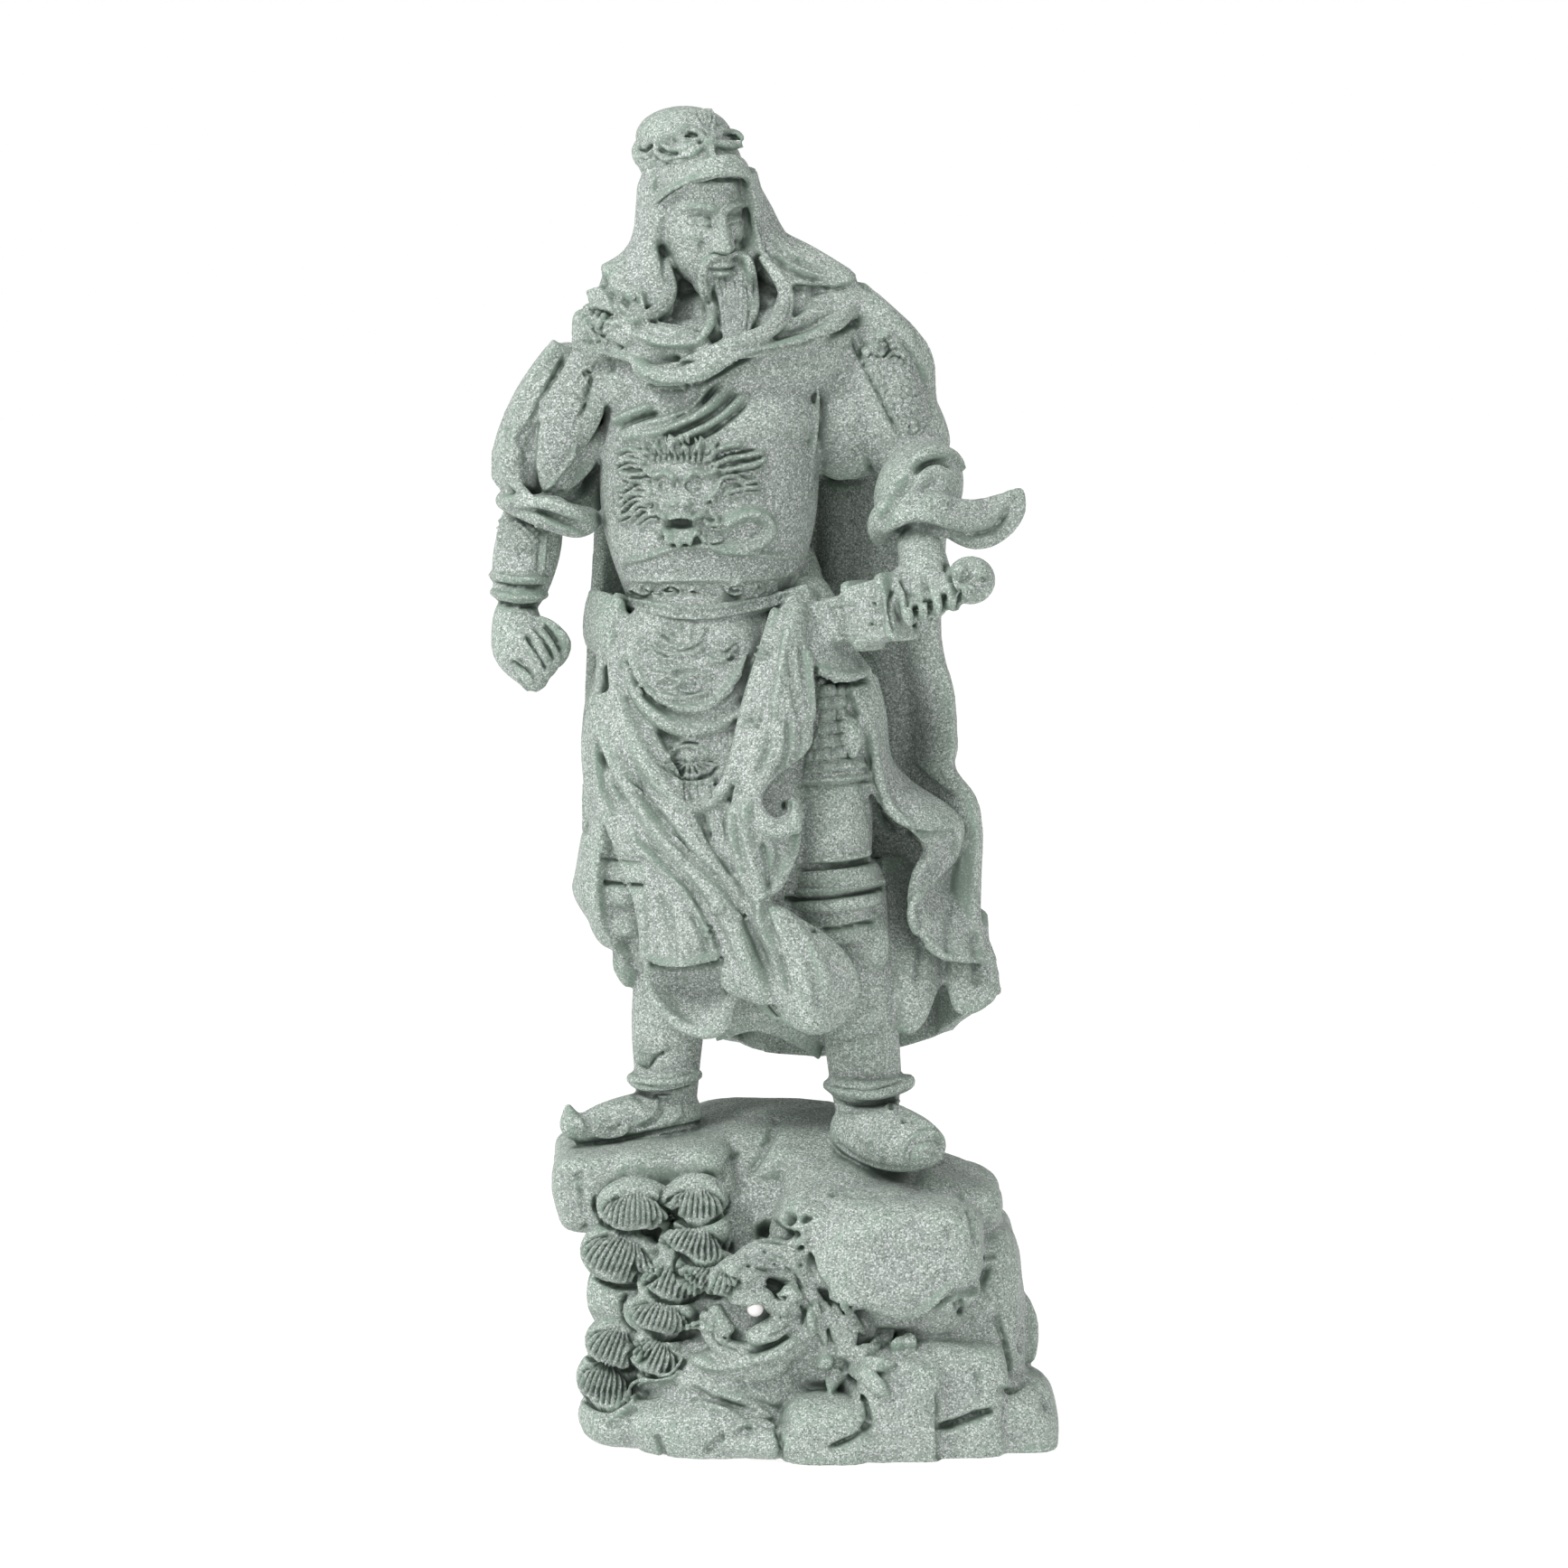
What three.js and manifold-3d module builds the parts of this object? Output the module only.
// A bearded warrior in a cap, robe and cape, cast in one piece with the rock it stands on, and a
// loose pearl in the mouth of the dragon that coils in that rock.
// Millimetres, +Z up, the figure faces -Y. The origin is the middle of the underside.
import * as THREE from "three";
import { ConvexGeometry } from "three/addons/geometries/ConvexGeometry.js";
import { mergeVertices } from "three/addons/utils/BufferGeometryUtils.js";
import Module from "manifold-3d";

// Driving dimensions.
const FIGURE_HEIGHT = 200; // from the rock's top to the crown of the cap
const ROCK_HEIGHT = 60; // from the table to the top of the rock
const BASE_WIDTH = 95; // the foot of the rock, left to right
const BASE_DEPTH = 78; // the foot of the rock, front to back
const PEARL_DIAMETER = 3.2;
const PEARL_GAP = 0.3; // between the pearl and its seat
const GREEN_STONE = 0x93a698;
const PEARL_WHITE = 0xd9d4dc;

// The size at which the forms below are written. Figure and rock are shares of it.
const DRAWN = { figureHeight: 200, rockHeight: 60, baseWidth: 95, baseDepth: 78 };

const FRONT = new THREE.Vector3(0, -1, 0);
const UP = new THREE.Vector3(0, 0, 1);

/** The numbers at share t of a smooth run through rows of numbers. */
function along(rows, t) {
  const last = rows.length - 1;
  const place = THREE.MathUtils.clamp(t, 0, 1) * last;
  const i = Math.min(Math.floor(place), last - 1);
  const f = place - i;
  const [a, b, c, d] = [i - 1, i, i + 1, i + 2].map((k) => rows[THREE.MathUtils.clamp(k, 0, last)]);
  return b.map((_, n) => {
    const bend = 2 * a[n] - 5 * b[n] + 4 * c[n] - d[n];
    const turn = 3 * b[n] - a[n] - 3 * c[n] + d[n];
    return 0.5 * (2 * b[n] + (c[n] - a[n]) * f + bend * f * f + turn * f * f * f);
  });
}

/** Moves each vertex of a closed geometry to place(u, v, side), with u and v its uv or its cell. */
function moved(geometry, place) {
  const { position, uv } = geometry.attributes;
  for (let i = 0; i < position.count; i++) {
    const p = place(uv.getX(i), 1 - uv.getY(i), new THREE.Vector3().fromBufferAttribute(position, i));
    position.setXYZ(i, p.x, p.y, p.z);
  }
  return geometry;
}

/** A round or flattened limb through rows of [x, y, z, half width, half depth]. */
function limb(rows, { sides = 5, rings = 5, face = FRONT, blunt = 0.4 } = {}) {
  const full = rows.map((r) => (r.length === 4 ? [...r, r[3]] : r));
  const shape = new THREE.SphereGeometry(1, sides, rings);
  return moved(shape, (u, v) => {
    const angle = 2 * Math.PI * (u === 1 ? 0 : u);
    const swell = v > 0 && v < 1 ? Math.sin(Math.PI * v) ** blunt : 0;
    const t = (1 - Math.cos(Math.PI * v)) / 2;
    const [x, y, z, wide, deep] = along(full, t);
    const ahead = along(full, t + 0.01);
    const behind = along(full, t - 0.01);
    const axis = new THREE.Vector3(...[0, 1, 2].map((n) => ahead[n] - behind[n])).normalize();
    const depth = face.clone().addScaledVector(axis, -face.dot(axis)).normalize();
    const width = axis.clone().cross(depth);
    return new THREE.Vector3(x, y, z)
      .addScaledVector(width, Math.cos(angle) * wide * swell)
      .addScaledVector(depth, Math.sin(angle) * deep * swell);
  });
}

/** A thick cloth through a grid of points, row by row, with an optional ripple along its normal. */
function cloth(grid, thick, { across = 8, down = 8, ripple = () => 0 } = {}) {
  const at = (u, v) => new THREE.Vector3(...along(grid.map((row) => along(row, u)), v));
  const shape = new THREE.BoxGeometry(1, 1, 1, across, down, 1);
  return moved(shape, (_u, _v, cell) => {
    const [u, v] = [cell.x + 0.5, 0.5 - cell.y];
    const step = 0.01;
    const alongU = at(u + step, v).sub(at(u - step, v));
    const alongV = at(u, v + step).sub(at(u, v - step));
    const normal = alongU.cross(alongV).normalize();
    return at(u, v).addScaledVector(normal, ripple(u, v) + cell.z * thick);
  });
}

/** A rounded mass with a centre, three half sizes and an optional turn in degrees about X, Y and Z. */
function mass(centre, half, { turn = [0, 0, 0], sides = 7, rings = 5 } = {}) {
  const angles = new THREE.Euler(...turn.map(THREE.MathUtils.degToRad));
  return new THREE.SphereGeometry(1, sides, rings)
    .scale(...half)
    .applyMatrix4(new THREE.Matrix4().makeRotationFromEuler(angles))
    .translate(...centre);
}

/** A block of rock with its corners knocked off, each by its own amount. */
function boulder(centre, half, { turn = [0, 0, 0], worn = 0.72, seed = 1 } = {}) {
  const signs = [-1, 1];
  const corners = signs.flatMap((x) => signs.flatMap((y) => signs.map((z) => [x, y, z])));
  const points = corners.flatMap((corner, n) =>
    [0, 1, 2].map((axis) => {
      const rough = 0.1 * Math.sin(seed * 12.9 + n * 7.3 + axis * 3.1);
      const share = corner.map((s, k) => (k === axis ? s : s * (worn + rough)));
      return new THREE.Vector3(...share.map((s, k) => s * half[k]));
    }),
  );
  const angles = new THREE.Euler(...turn.map(THREE.MathUtils.degToRad));
  return new ConvexGeometry(points)
    .applyMatrix4(new THREE.Matrix4().makeRotationFromEuler(angles))
    .translate(...centre);
}

/** A cushion of pine needles: a dome whose lower rim is ribbed, facing the viewer. */
function needleFan(centre, radius, { lean = 0, ribs = 4, squash = 0.72 } = {}) {
  const shape = new THREE.SphereGeometry(1, ribs * 2, 3);
  return moved(shape, (u, v) => {
    const angle = 2 * Math.PI * (u === 1 ? 0 : u);
    const swell = Math.sin(Math.PI * v);
    const rib = 1 + 0.09 * Math.cos(ribs * angle) * Math.max(0, v - 0.35);
    const across = Math.cos(angle) * swell * rib;
    const ahead = Math.sin(angle) * swell * rib * 0.8;
    return new THREE.Vector3(across, ahead, Math.cos(Math.PI * v) * squash)
      .applyAxisAngle(new THREE.Vector3(1, 0, 0), -0.5)
      .applyAxisAngle(FRONT, lean)
      .multiplyScalar(radius)
      .add(new THREE.Vector3(...centre));
  });
}

// The rock.

function rockFoot() {
  const halfWidth = DRAWN.baseWidth / 2;
  const halfDepth = DRAWN.baseDepth / 2;
  const profile = [[0, 0], [0.97, 0], [1, 4], [0.93, 9], [0, 13]];
  const shape = new THREE.LatheGeometry(profile.map(([r, h]) => new THREE.Vector2(r, h)), 20);
  shape.rotateX(Math.PI / 2);
  const { position } = shape.attributes;
  for (let i = 0; i < position.count; i++) {
    const [x, y, z] = [position.getX(i), position.getY(i), position.getZ(i)];
    const angle = Math.atan2(y, x);
    const lump = 1 + 0.018 * Math.cos(5 * angle + 0.6) + 0.012 * Math.cos(9 * angle);
    position.setXYZ(i, (x * halfWidth * lump) / 1.03, (y * halfDepth * lump) / 1.03, z);
  }
  return shape;
}

function rockMass() {
  return [
    boulder([-2, 4, 28], [33, 27, 24], { worn: 0.78, seed: 2 }),
    boulder([-33, -3, 48.5], [19, 17, 8.5], { turn: [3, -4, 4], worn: 0.82, seed: 3 }),
    boulder([-6, 8, 50.5], [20, 22, 10.5], { turn: [6, 0, 0], worn: 0.72, seed: 4 }),
    boulder([16, 2, 46], [20, 22, 9], { turn: [4, 10, 0], worn: 0.74, seed: 14 }),
    boulder([15, -19, 42.5], [18, 17, 12.5], { turn: [8, 4, 8], worn: 0.66, seed: 5 }),
    boulder([28, 1, 36], [10, 22, 12], { turn: [0, -6, 0], worn: 0.7, seed: 6 }),
    boulder([31, -2, 18], [10, 24, 16], { turn: [0, -10, 0], worn: 0.72, seed: 7 }),
    boulder([13, -28, 13], [12, 9, 12], { turn: [0, 0, 4], worn: 0.76, seed: 8 }),
    mass([28, -22, 14], [9.5, 12, 14], { turn: [0, 0, 18] }),
    mass([40, -6, 8], [6.5, 15, 8]),
    mass([2, -30, 6], [10.5, 8, 7.5], { turn: [0, 12, 0] }),
    boulder([-30, 12, 24], [15, 20, 22], { turn: [0, 6, 12], worn: 0.75, seed: 11 }),
    boulder([14, 24, 22], [20, 10, 22], { turn: [-6, 0, 0], worn: 0.72, seed: 13 }),
    mass([-40, -10, 5], [7, 10, 6]),
  ];
}

function pine() {
  const fans = [
    [[-34.5, -20, 45], 7, 0.1],
    [[-22.5, -21, 46], 5.4, 0.35],
    [[-36, -18, 38], 7.6, 0.15],
    [[-18, -22, 38], 6.4, 0.6],
    [[-25.5, -23, 31], 6, 0.5],
    [[-29, -24, 24.5], 6.6, 0.3],
    [[-32, -25, 16.5], 5.6, 0],
    [[-40.5, -18, 15], 7, -0.1],
  ];
  const trunk = limb([[-18, -22, 44, 3], [-24, -20, 32, 3.6], [-32, -18, 22, 4], [-36, -20, 10, 3]]);
  return [trunk, ...fans.map(([centre, radius, lean]) => needleFan(centre, radius, { lean }))];
}

const DRAGON_MOUTH = new THREE.Vector3(-11.8, -34, 29.6);

function dragon() {
  const coil = [];
  for (let k = 0; k <= 8; k++) {
    const turn = THREE.MathUtils.degToRad(112 - 32 * k);
    const [across, above] = [Math.cos(turn), Math.sin(turn)];
    coil.push([-9.5 + 9 * across, -30 - 1.2 * above, 30.5 + 10.5 * above, 2.7 - 0.14 * k]);
  }
  return [
    limb(coil, { sides: 4, rings: 9 }),
    limb([[-6, -28, 36, 5], [-12, -31, 37, 5.2], [-17, -33, 35, 3.6]]),
    limb([[-5, -30, 28, 3], [-9, -32, 25.5, 2.6], [-15, -33.5, 25, 1.8]]),
    mass([-10, -27, 30], [10, 5, 10]),
    limb([[0, -28, 30, 3], [4, -30, 24, 2.4], [8, -32, 19, 1.4]]),
    limb([[-18, -24, 20, 6, 4], [-10, -28, 14, 7, 4], [0, -32, 9, 4, 3]]),
  ];
}

// The figure, written above the drawn rock.

function legs() {
  return [
    limb([
      [-25, 3, 104, 9], [-28, 2, 88, 8], [-29, 1, 76, 7.2], [-29, 1, 66, 7.2],
      [-28, 0.5, 58, 7.4],
    ], { sides: 7 }),
    limb([
      [-23, 1, 60.5, 6, 4.6], [-30, -1.5, 61.5, 6.4, 5.4], [-38, -5, 60.2, 5.8, 4.8],
      [-45.5, -8, 59, 5, 4],
    ], {
      face: UP,
      sides: 6,
    }),
    limb([[-44.5, -7.8, 60, 3.4], [-47.5, -8.8, 62, 2], [-48.8, -9.2, 65, 0.9]], { rings: 4 }),
    limb([
      [3, -1, 108, 10], [5.5, -3, 92, 8.4], [8, -5.5, 78, 7.4], [10, -7, 66, 7.2],
      [10.5, -7, 58, 7.4],
    ], { sides: 7 }),
    limb([
      [6, -3, 60.5, 6, 5], [12, -10, 60.5, 6.8, 6], [18.5, -17, 59, 6.6, 5.6],
      [23.5, -22.5, 58, 5.8, 4.8],
    ], {
      face: UP,
      sides: 6,
    }),
    limb([[-35.5, 1, 71, 1.6], [-30, -6.5, 70.5, 1.6], [-22.5, -3, 70.5, 1.6]], { sides: 4 }),
    limb([[2.5, -7, 70, 1.5], [9, -15, 69.5, 1.6], [17.5, -9, 70, 1.5]], { sides: 4 }),
  ];
}

function body() {
  return [
    limb(
      [
        [-17, 4, 86, 22, 12],
        [-17, 0, 100, 25.5, 16],
        [-18, -2, 120, 25, 18.5],
        [-20, -2, 140, 22, 17.5],
        [-21, 0, 158, 18.5, 15],
        [-21.5, -2, 168, 19, 16.5],
        [-21, -2.5, 180, 21, 18],
        [-20, -0.5, 195, 21.5, 17],
        [-18.5, 1, 208, 23, 15],
        [-17.5, 1, 217, 18, 11],
      ],
      { sides: 10, rings: 9, blunt: 0.3 },
    ),
    limb([
      [-42, 1, 207, 8], [-30, 1, 211, 11.5], [-17, 1, 213, 13], [-3, 1, 213, 12.5],
      [9, 2, 209, 10],
    ], {
      sides: 8,
    }),
    limb([[0, 5, 210, 10], [1, 8, 190, 11], [0, 9, 168, 10], [-2, 8, 150, 9]], { sides: 8 }),
    limb([
      [-39.5, -4, 162, 2.8, 1.3], [-31, -17, 160.5, 2.8, 1.3], [-22, -19, 159.6, 2.8, 1.4],
      [-12, -17, 160.6, 2.8, 1.3], [-2, -5, 163, 2.8, 1.3],
    ], {
      sides: 4,
      rings: 7,
    }),
    mass([-24, -12.5, 151], [14.5, 9.5, 15], { turn: [-6, 0, 0], sides: 9 }),
  ];
}

function head() {
  const turned = new THREE.Vector3(0.42, -0.9, 0);
  const [tipX, tipY] = [-16.6, -14.6];
  return [
    mass([-20.5, -5, 234], [9.2, 10.5, 14], { turn: [16, 0, 26], sides: 8, rings: 6 }),
    mass([tipX, tipY, 234.5], [1.9, 2.6, 4], { turn: [16, 0, 26], sides: 5, rings: 4 }),
    mass([-30, -6, 238], [1.4, 2.6, 4.4], { turn: [16, 0, 26], sides: 5, rings: 4 }),
    limb([[-20, 0, 214, 9], [-20, -1, 226, 8]], { rings: 4 }),
    // The cap: a rolled band, a brow that rises from it, and a full crown that rolls back.
    limb([[-21.5, -3, 240.5, 9.6, 11.4], [-22, -3, 246, 9.8, 12], [-24.5, -1, 252, 8.6, 10]], {
      face: turned,
      sides: 8,
      rings: 4,
      blunt: 0.16,
    }),
    mass([-26, 1, 252], [9.2, 11, 6.8], { turn: [0, -6, 24], sides: 8, rings: 5 }),
    limb([[-34, 0, 250, 2.6], [-33.4, -5, 248.6, 2.6], [-29, -9.5, 248, 1.6]], { sides: 4, rings: 4 }),
    mass([-17.5, -12, 251], [2.2, 2.4, 2.4], { sides: 6, rings: 4 }),
    mass([-25.6, -11, 251.5], [3, 2, 2], { sides: 6, rings: 4 }),
    limb([[-19, -11, 250.5, 1.6], [-14, -8, 250.2, 0.9]], { sides: 5, rings: 4 }),
  ];
}

function beard() {
  const strands = [
    [
      [-16.6, -15, 229, 3.6, 2.6], [-17, -18, 220, 4.4, 2.6], [-17.5, -19.5, 211, 3.8, 2.2],
      [-20, -20, 205, 2.4, 1.6],
    ],
    [
      [-18.3, -14, 231, 1.6], [-21.4, -14.8, 226, 1.9], [-21.2, -17.6, 217, 1.9],
      [-22, -18.6, 212, 1.8], [-25.5, -18, 209, 1.2],
    ],
    [
      [-14.5, -14.5, 231, 1.6], [-12.6, -15, 226, 1.8], [-12.6, -17.6, 217, 1.8],
      [-13.8, -18.4, 211, 1.3],
    ],
    [[-28.5, -10, 228, 1.6], [-29.2, -12, 221, 1.8], [-33, -13.5, 216.5, 1.6], [-39, -12, 214.8, 1]],
    [
      [-10.5, -12, 229, 1.4], [-7, -14, 224, 1.6], [-5.6, -15.5, 218, 1.7],
      [-9, -17.5, 212.5, 1.6], [-18, -19.5, 209.5, 1.4],
    ],
  ];
  return strands.map((rows) => limb(rows, { sides: 4, rings: 5 }));
}

function veil() {
  const left = [
    [[-30.5, -5, 247], [-32, 1, 249], [-30, 8, 249], [-24, 11, 250]],
    [[-30.6, -6, 237], [-33, 2, 237], [-31, 10, 238], [-24, 14, 238]],
    [[-31.5, -7, 227], [-35.5, 1, 229], [-33, 11, 228], [-24, 16, 226]],
    [[-36, -9, 217.5], [-42.5, -3, 225.5], [-38, 11, 220], [-24, 18, 214]],
  ];
  const right = [
    [[-24, 11, 250], [-17, 9, 250], [-13.5, 3, 248], [-13.5, -4, 246]],
    [[-24, 14, 238], [-15, 12, 238], [-10, 5, 238], [-11, -5, 236]],
    [[-24, 16, 226], [-10, 14, 226], [-3, 4, 230], [-8, -6, 226]],
    [[-24, 18, 214], [-6, 14, 216], [7, -1, 225.5], [-2, -7, 222]],
  ];
  return [left, right].map((grid) => cloth(grid, 2.2, { down: 4, across: 4 }));
}

function collar() {
  return [
    limb([
      [-41, -5, 217, 4, 3], [-33, -12, 212, 6, 4], [-22, -16.5, 207, 6, 4],
      [-10, -16, 210, 5.5, 4], [2, -10, 217, 5, 4], [9, -3, 222, 3, 3],
    ], {
      sides: 6,
      rings: 8,
    }),
    limb([
      [-35, -14, 205, 1.4], [-27, -19, 203, 2], [-18, -20, 205, 2], [-8, -17.5, 210.5, 2],
      [3, -12, 215.5, 2], [8, -8, 222, 1.4],
    ], {
      sides: 4,
      rings: 8,
    }),
    limb([
      [-38, -13, 192, 1.4], [-30, -18, 194.5, 2], [-22, -19.5, 199, 2], [-16, -18.5, 206, 1.2],
    ], { sides: 4 }),
  ];
}

function rightArm() {
  return [
    limb([
      [-43, 1, 206, 8.5], [-49, 2, 198, 10.5], [-52, 3, 188, 11.4, 11],
      [-52.5, 2.5, 179, 10, 9.5],
    ], { sides: 8, rings: 6 }),
    limb([
      [-53, 3, 184, 7.6], [-56.5, 1.5, 174, 7.2], [-57.4, 0, 168, 6.3], [-57.6, -1, 160, 5.2],
    ], { sides: 7 }),
    limb([
      [-62, -3, 179.5, 2], [-54, -8.5, 178, 2.4], [-46, -7.5, 175, 2.6], [-41.5, -1, 176, 2],
    ], { sides: 4 }),
    limb([[-57.5, -1, 163, 5.6], [-57.5, -3, 157, 7], [-55.5, -5, 150.5, 7, 6], [-54, -6, 146, 4.5, 4]]),
    limb([[-59.5, -5, 153, 2], [-57, -9.5, 148.5, 2.3], [-54, -9.5, 146, 1.6]], { sides: 4 }),
    ...[0, 1, 2].map((k) =>
      limb([
        [-56 + 1.6 * k, -9, 156.5 - 0.4 * k, 1.5],
        [-52.2 + 1.8 * k, -10 + k, 152.5 - 0.6 * k, 1.7], [-54 + 2 * k, -8.5 + k, 147.5, 1.4],
      ], {
        sides: 4,
        rings: 4,
      }),
    ),
    // The sleeve's turned-up edge, standing off the shoulder, and the shoulder plate.
    cloth(
      [
        [[-44, -3, 213], [-48.5, -1, 213.5], [-50, 8, 212]],
        [[-50, -9, 203], [-55.5, -4, 205], [-55, 8, 203]],
        [[-55, -10, 193], [-61, -5, 195], [-60, 8, 193]],
        [[-55, -9.5, 184], [-62.5, -5, 186], [-61, 6, 185]],
      ],
      2.2,
      { across: 2, down: 4 },
    ),
    limb([
      [-44, -5, 212, 5, 3], [-47, -7.5, 202, 6.5, 3], [-49.5, -8, 192, 6, 2.6],
      [-51, -7.5, 183, 2.5, 1.6],
    ]),
    limb([[-46, -2, 215, 3], [-44, -6, 218, 3], [-40, -8, 215, 2.4]], { rings: 4 }),
  ];
}

function leftArm() {
  return [
    limb([
      [7, 2, 211, 10], [15, 3, 204, 10.5], [20, 4, 195, 11], [20.5, 3, 186, 10],
      [19, 0, 180, 8],
    ], { sides: 8, rings: 6 }),
    limb([
      [21, 3, 188, 8.6], [21, -8, 184, 8.4], [20, -17, 180, 7.6], [18.5, -22, 176, 5.6],
    ], { face: UP, sides: 8 }),
    limb([
      [11.5, -14, 173, 2.4], [17, -23, 177.5, 3], [25, -22, 178, 3.4, 3],
      [33, -18, 176.6, 5, 2.6], [39.5, -14, 181.5, 3.4, 2], [40.6, -13, 185.5, 1, 1],
    ], {
      rings: 8,
    }),
    limb([
      [18.5, -16, 177, 5], [18, -22, 171.5, 4.6], [20, -26, 165, 5.4, 4.6],
      [22, -27.5, 161.5, 4, 3.6],
    ]),
    limb([[13, -27, 169, 1.6], [17, -30, 165.5, 1.9], [22, -31, 166, 1.6]], { sides: 4 }),
    ...[0, 1, 2, 3].map((k) =>
      limb([
        [17 + 2.9 * k, -29, 164 + 0.8 * k, 1.6], [16.2 + 2.9 * k, -31, 160 + 0.8 * k, 1.7],
        [15.8 + 2.9 * k, -28.5, 157.5 + 0.8 * k, 1.4],
      ], {
        sides: 4,
        rings: 4,
      }),
    ),
    // The sword: pommel, grip, guard and scabbard.
    limb([[32, -34, 170, 4.4], [28.5, -31.5, 167.6, 5], [26, -30, 166.4, 4]], { sides: 6 }),
    limb([[28, -31, 167, 2.4], [13, -21, 161, 2.4]], { rings: 4 }),
    limb([
      [15, -23, 162.5, 5.4, 3.6], [10.5, -18.5, 160.4, 5.4, 3.6],
    ], { face: UP, blunt: 0.2, sides: 6, rings: 4 }),
    limb([
      [12, -19, 160.5, 4, 2.4], [2, -8, 157, 4, 2.4], [-10, 8, 152, 3.6, 2.2],
    ], { face: UP, sides: 6, rings: 4 }),
    limb([[10, -5, 213, 3.5], [14, -8, 205, 4.4, 3], [17, -8.5, 197, 4, 2.6], [18, -7, 191, 2, 1.6]]),
  ];
}

function cape() {
  const ripple = (u, v) => 1.5 * v * Math.sin(2 * Math.PI * (3.5 * u + 0.15));
  return cloth(
    [
      [[-40, 3, 216], [-32, 12, 218], [-18, 16, 219], [-3, 14, 221], [8, 7, 223], [11, -4, 222]],
      [[-42, 8, 200], [-32, 18, 200], [-18, 21, 200], [-1, 20, 200], [15, 15, 203], [22, 6, 206]],
      [[-38, 12, 156], [-29, 21, 156], [-16, 25, 156], [0, 24, 156], [14, 19, 156], [25.5, 7, 157]],
      [[-42, 12, 120], [-31, 23, 120], [-16, 27, 120], [2, 26, 120], [18, 20, 122], [31.5, 6, 124]],
      [[-42, 9, 96], [-32, 22, 95], [-16, 27, 94], [2, 27, 94], [19, 20, 96], [33.5, 6, 102]],
      [[-38, 6, 86], [-31, 18, 78], [-17, 23, 70.5], [1, 22, 69], [18, 16, 76], [36.5, 5, 84.5]],
    ],
    2.6,
    { across: 10, down: 6, ripple },
  );
}

function coat() {
  const rightFlap = [
    [[-3, -12, 166], [4, -5, 166], [8, 9, 166]],
    [[9.5, -14, 151], [14, -4, 151], [15, 12, 151]],
    [[13.5, -12, 140], [19, -3, 140], [20, 14, 140]],
    [[17, -10, 129], [22, -1, 128], [24, 14, 128]],
    [[29, -6, 120], [29, 4, 119], [28, 16, 119]],
    [[26, 3, 111], [28, 9, 110], [28, 17, 110]],
    [[19.5, 0, 104], [25, 7, 103], [28, 17, 103]],
    [[21, -6, 97], [27, 3, 96], [30, 15, 96]],
    [[28, -6, 91], [31, 3, 90], [31, 14, 89]],
  ];
  const leftFlap = [
    [[-38, 8, 164], [-40.5, 0, 165], [-38.5, -9, 164]],
    [[-38, 12, 152], [-45.5, 2, 150], [-43, -9, 152]],
    [[-40, 12, 130], [-47.5, 1, 130], [-44, -10, 130]],
    [[-41, 12, 112], [-47, 2, 112], [-44, -11, 113]],
    [[-42, 12, 104], [-49, 0, 106], [-43, -8, 100]],
    [[-38, 8, 90], [-40, 3, 93], [-37, -4, 90]],
  ];
  const inner = [
    [[-14, 4, 110], [0, 10, 110], [16, 6, 108]],
    [[-12, 6, 90], [4, 12, 90], [22, 4, 92]],
    [[-10, 8, 76], [4, 12, 78], [24, 0, 84]],
  ];
  return [
    cloth(rightFlap, 2.2, { across: 2, down: 9 }),
    cloth(leftFlap, 2.2, { across: 2, down: 6 }),
    cloth(inner, 2, { across: 4, down: 2, ripple: (u, v) => 2 * v * Math.sin(9 * u) }),
  ];
}

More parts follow.
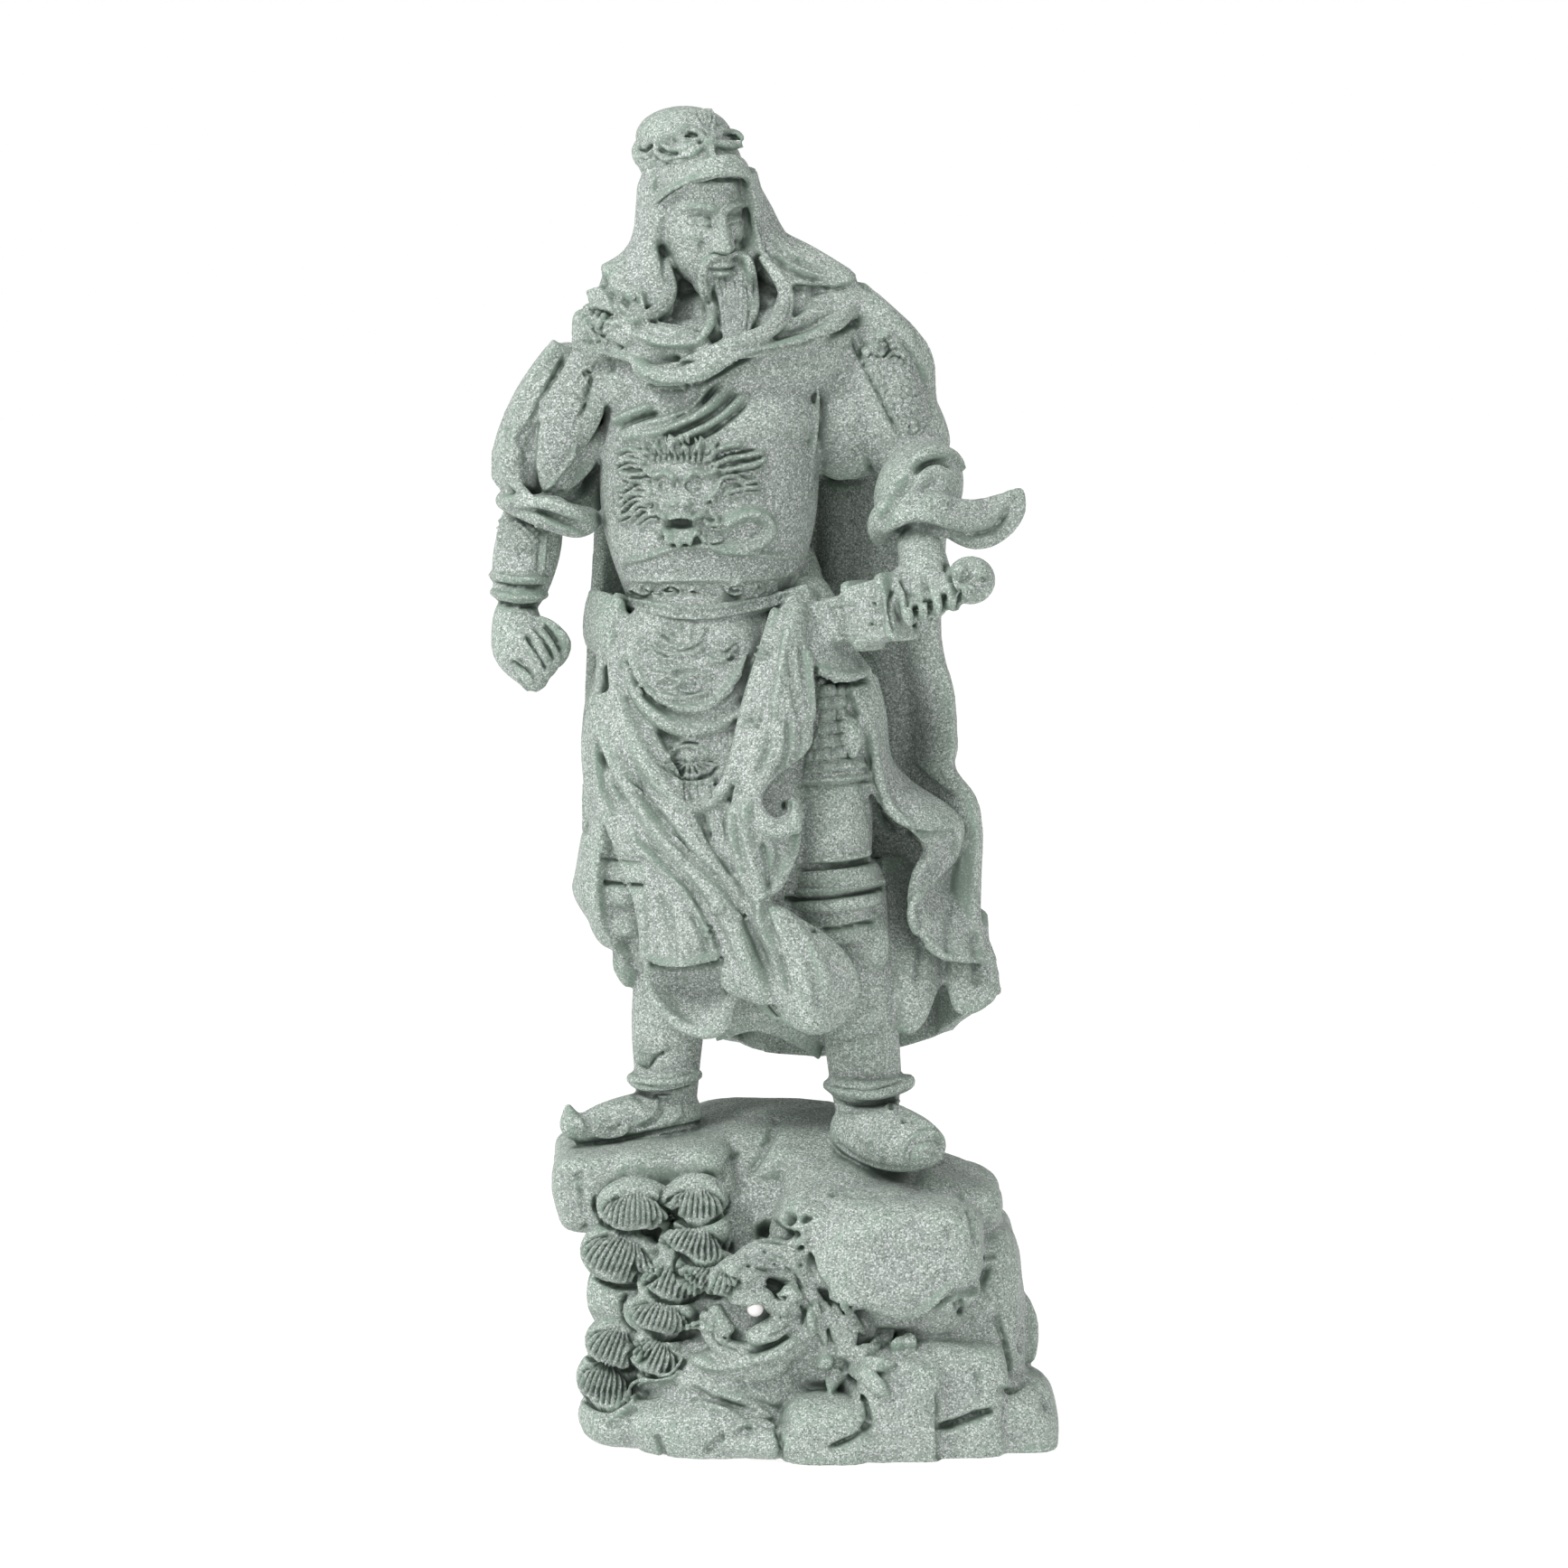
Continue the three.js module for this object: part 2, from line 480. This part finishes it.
function drape() {
  // The front cloth: it falls from both hips, and its right edge folds back on itself as it drops.
  const cascade = [
    [[-9, -18, 157], [-6, -18.5, 156], [-3, -16, 155]],
    [[-12, -20.5, 145], [-7, -22.5, 145], [-1.5, -19, 144]],
    [[-14.5, -22, 133], [-8, -24, 132], [-1.5, -20, 133]],
    [[-16, -23, 124], [-12, -25, 124], [-8, -22.5, 127]],
    [[-16.5, -24, 118], [-11.5, -27, 117], [-7, -25.5, 116]],
    [[-16, -24.5, 113], [-10, -26, 113], [-4, -23, 115]],
    [[-14, -25, 106], [-9, -26.5, 106], [-5.5, -22, 108]],
    [[-12, -24.5, 101], [-10, -25.5, 101], [-9.5, -22, 102]],
    [[-10.5, -24, 95], [-6, -26.5, 94], [-1.5, -22, 95]],
    [[-8, -23, 87], [0, -26.5, 86], [7, -21, 87]],
    [[-4, -19, 79], [0, -22, 78], [5, -19.5, 79]],
  ];
  const left = [
    [[-42, -12, 148], [-34, -19, 146], [-26, -20, 132]],
    [[-43, -13, 125], [-33, -21, 122], [-21, -22.5, 112]],
    [[-38, -14, 108], [-29, -22, 106], [-17, -24, 100]],
    [[-34.5, -16, 94], [-26, -23, 93.5], [-17, -23, 93]],
    [[-33, -12, 90], [-26, -15, 87], [-17, -17, 88]],
    [[-30, -13, 84], [-25, -16, 80], [-19, -16, 81]],
  ];
  const middle = [
    [[-26, -20, 116], [-18, -21, 112], [-12, -22, 108]],
    [[-20, -22, 100], [-15, -21, 98], [-10, -22, 96]],
    [[-18, -20, 90], [-13, -19, 89], [-8, -22, 86]],
    [[-19, -15, 80], [-14, -14, 86], [-6, -20, 79]],
  ];
  const folds = [
    [
      [-9.4, -17, 158, 1.6], [-12, -21.5, 147, 2.4], [-18, -23, 139.5, 2.4],
      [-25, -23.5, 137.5, 2.2], [-33, -20.5, 142, 2], [-38, -15, 156, 1.5],
    ],
    [
      [-6, -17, 156, 1.6], [-13, -23, 132, 2.4], [-19, -24, 124.5, 2.4], [-26, -24, 124, 2.4],
      [-32, -22, 134, 2.2], [-37.5, -18, 146, 2], [-39.5, -13, 160, 1.5],
    ],
    [
      [-39, -15, 158, 1.5], [-38, -19.5, 140, 2], [-32.3, -22, 126, 2.4], [-21, -25, 108, 2.6],
      [-9.5, -25, 90, 2],
    ],
    [
      [-41.5, -12, 156, 1.5], [-42.5, -17, 132, 2], [-37, -20, 118, 2.2], [-26, -24, 106, 2.4],
      [-17.5, -25, 95, 1.6],
    ],
  ];
  return [
    cloth(cascade, 2.4, { across: 2, down: 10 }),
    cloth(left, 2.4, { across: 3, down: 6 }),
    cloth(middle, 2.4, { across: 3, down: 4 }),
    ...folds.map((rows) => limb(rows, { sides: 4, rings: 7 })),
  ];
}

function thighArmour() {
  const plate = (low, high, wide, deep) =>
    limb([[...low, wide[0], deep[0]], [...high, wide[1], deep[1]]], { sides: 8, rings: 4, blunt: 0.12 });
  return [
    plate([3, -5, 128], [0.5, -4, 148], [9.5, 12], [9, 10.5]),
    plate([4, -5, 112], [3, -5, 130], [9.8, 13], [9.2, 12.4]),
    plate([4.3, -5, 106.5], [4.3, -5, 112], [10.6, 14], [9.8, 13]),
    plate([4.6, -3.5, 99], [4.6, -4, 107], [9, 11.4], [8.6, 11]),
    plate([-34, -4, 98], [-34, -4, 113], [8, 9.4], [8, 9.5]),
  ];
}

// Joining.

const wasm = await Module();
wasm.setup();

/** The solid that a closed geometry bounds, whichever way its faces were wound. */
function solidOf(geometry) {
  const bare = geometry.clone();
  bare.deleteAttribute("normal");
  bare.deleteAttribute("uv");
  const merged = mergeVertices(bare, 1e-4);
  const index = [...merged.index.array];
  const whole = [];
  for (let i = 0; i < index.length; i += 3) {
    const [a, b, c] = index.slice(i, i + 3);
    if (a !== b && b !== c && c !== a) whole.push([a, b, c]);
  }
  const corner = (n) => new THREE.Vector3().fromBufferAttribute(merged.attributes.position, n);
  const volume = whole.reduce((sum, [a, b, c]) => sum + corner(a).dot(corner(b).cross(corner(c))), 0);
  const outward = volume > 0 ? whole : whole.map(([a, b, c]) => [a, c, b]);
  return new wasm.Manifold(
    new wasm.Mesh({
      numProp: 3,
      vertProperties: merged.attributes.position.array,
      triVerts: new Uint32Array(outward.flat()),
    }),
  );
}

/** The union of geometries, each first carried by a matrix. */
function joined(geometries, matrix) {
  return wasm.Manifold.union(geometries.flat().map((g) => solidOf(g.applyMatrix4(matrix))));
}

function meshOf(name, solid, material) {
  const { numProp, vertProperties, triVerts, numVert } = solid.getMesh();
  const position = new Float32Array(numVert * 3);
  for (let i = 0; i < numVert; i++) {
    position.set(vertProperties.subarray(i * numProp, i * numProp + 3), i * 3);
  }
  const geometry = new THREE.BufferGeometry();
  geometry.setAttribute("position", new THREE.BufferAttribute(position, 3));
  geometry.setIndex(new THREE.BufferAttribute(new Uint32Array(triVerts), 1));
  geometry.computeVertexNormals();
  const mesh = new THREE.Mesh(geometry, material);
  mesh.name = name;
  return mesh;
}

const rockScale = new THREE.Matrix4().makeScale(
  BASE_WIDTH / DRAWN.baseWidth,
  BASE_DEPTH / DRAWN.baseDepth,
  ROCK_HEIGHT / DRAWN.rockHeight,
);
const figureShare = FIGURE_HEIGHT / DRAWN.figureHeight;
const figurePlace = new THREE.Matrix4()
  .makeTranslation(0, 0, ROCK_HEIGHT)
  .multiply(new THREE.Matrix4().makeScale(figureShare, figureShare, figureShare))
  .multiply(new THREE.Matrix4().makeTranslation(0, 0, -DRAWN.rockHeight));

const rock = joined([rockFoot(), rockMass(), pine(), dragon()], rockScale);
const figure = joined(
  [
    legs(), body(), head(), beard(), veil(), collar(),
    rightArm(), leftArm(), cape(), coat(), drape(), thighArmour(),
  ],
  figurePlace,
);

const belowTable = new THREE.BoxGeometry(2 * BASE_WIDTH, 2 * BASE_DEPTH, ROCK_HEIGHT);
belowTable.translate(0, 0, -ROCK_HEIGHT / 2);

const pearlCentre = DRAGON_MOUTH.clone().applyMatrix4(rockScale);
const pearlShape = (radius) => new THREE.SphereGeometry(radius, 10, 7).translate(...pearlCentre);
const seat = solidOf(pearlShape(PEARL_DIAMETER / 2 + PEARL_GAP));
const statue = rock.add(figure).subtract(seat).subtract(solidOf(belowTable));

const stone = new THREE.MeshStandardMaterial({ color: GREEN_STONE, roughness: 0.75, metalness: 0 });
const white = new THREE.MeshStandardMaterial({ color: PEARL_WHITE, roughness: 0.35, metalness: 0 });

const group = new THREE.Group();
group.add(meshOf("statue", statue, stone));
group.add(new THREE.Mesh(pearlShape(PEARL_DIAMETER / 2), white));
group.children[1].name = "pearl";

export default group;
